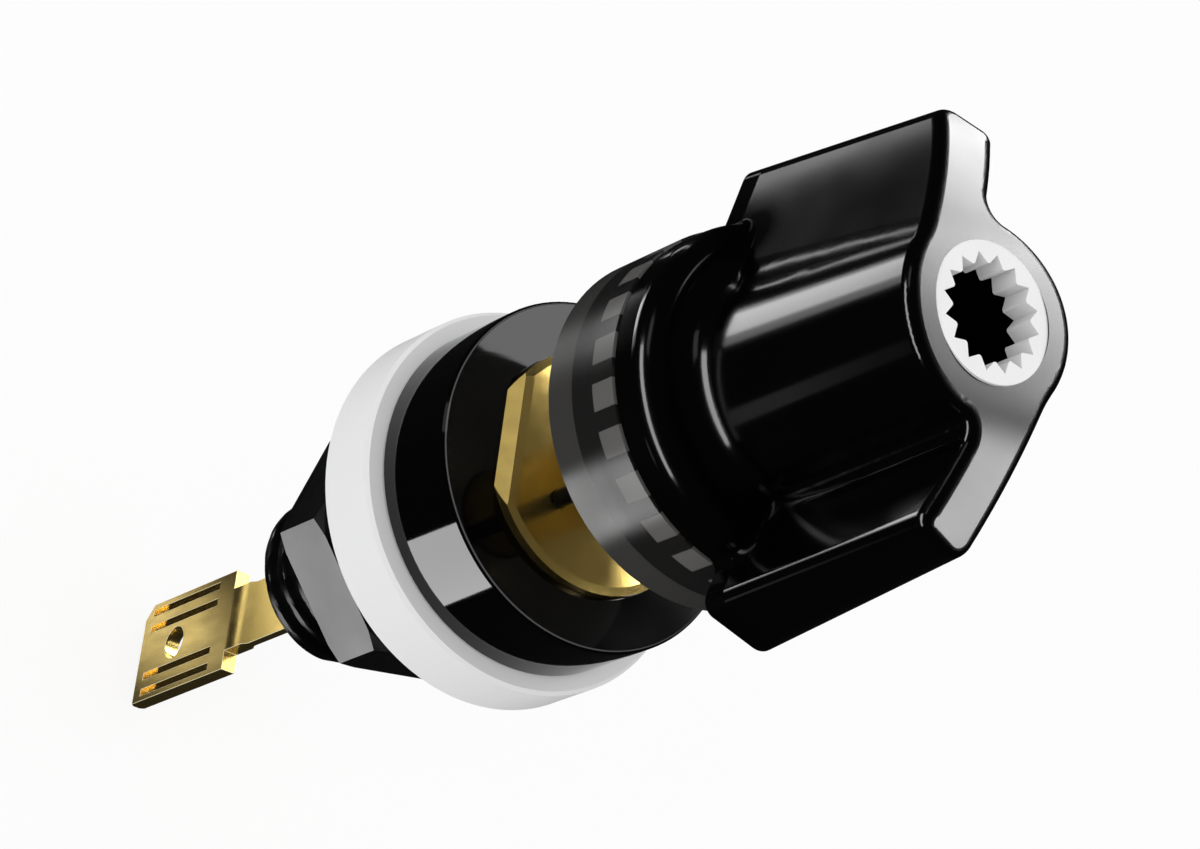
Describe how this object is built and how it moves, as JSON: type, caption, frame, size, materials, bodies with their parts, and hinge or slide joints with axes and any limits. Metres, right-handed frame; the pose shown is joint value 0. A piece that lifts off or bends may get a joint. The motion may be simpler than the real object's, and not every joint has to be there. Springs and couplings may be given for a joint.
{
  "type": "binding post",
  "caption": "Panel-mounted binding post with a two-winged clamping knob, a clear pressure ring, a gold contact plate and a flat solder tab.",
  "frame": {"origin": "centre of the panel seat, the rear face of the colour ring", "axes": "+Z out of the panel along the post towards the knob; X across the width of the solder tab; the flat of the contact plate faces -Y"},
  "size_m": [0.0316, 0.0264, 0.0949],
  "materials": {
    "black_gloss": "glossy moulded",
    "black_satin": "satin moulded",
    "white_plastic": "satin moulded",
    "gold_plate": "polished gold plating",
    "brass_parts": "turned",
    "spring_steel": "bright",
    "pin_black": "blackened",
    "smoked_clear": "smoked clear plastic"
  },
  "bodies": {
    "root": {"base_body": "black_gloss", "colour_ring": "white_plastic", "panel_nut": "black_satin", "contact_plate": "gold_plate", "contact_post": "gold_plate", "stop_clip": "spring_steel", "stem_washer": "spring_steel", "stem_nut": "brass_parts", "rear_plug": "black_satin", "solder_tab": "gold_plate"},
    "ring_carriage": {"pressure_ring": "smoked_clear", "guide_pin": "pin_black", "ring_clip": "spring_steel", "thrust_washer": "spring_steel"},
    "knob": {"wing_knob": "black_gloss", "colour_insert": "white_plastic", "knob_bush": "brass_parts"}
  },
  "joints": [
    {"name": "ring_slide", "type": "slide", "parent": "root", "child": "ring_carriage", "axis": [0, 0, 1], "range_m": [-0.0095, 0.001]},
    {"name": "knob_turn", "type": "hinge", "parent": "ring_carriage", "child": "knob", "pos_m": [0, 0, 0.0294], "axis": [0, 0, 1], "range_deg": [-3420.2, 360.2]}
  ],
  "couplings": [
    {"joint": "knob_turn", "follows": "ring_slide", "rad_per_m": 6283.2}
  ]
}
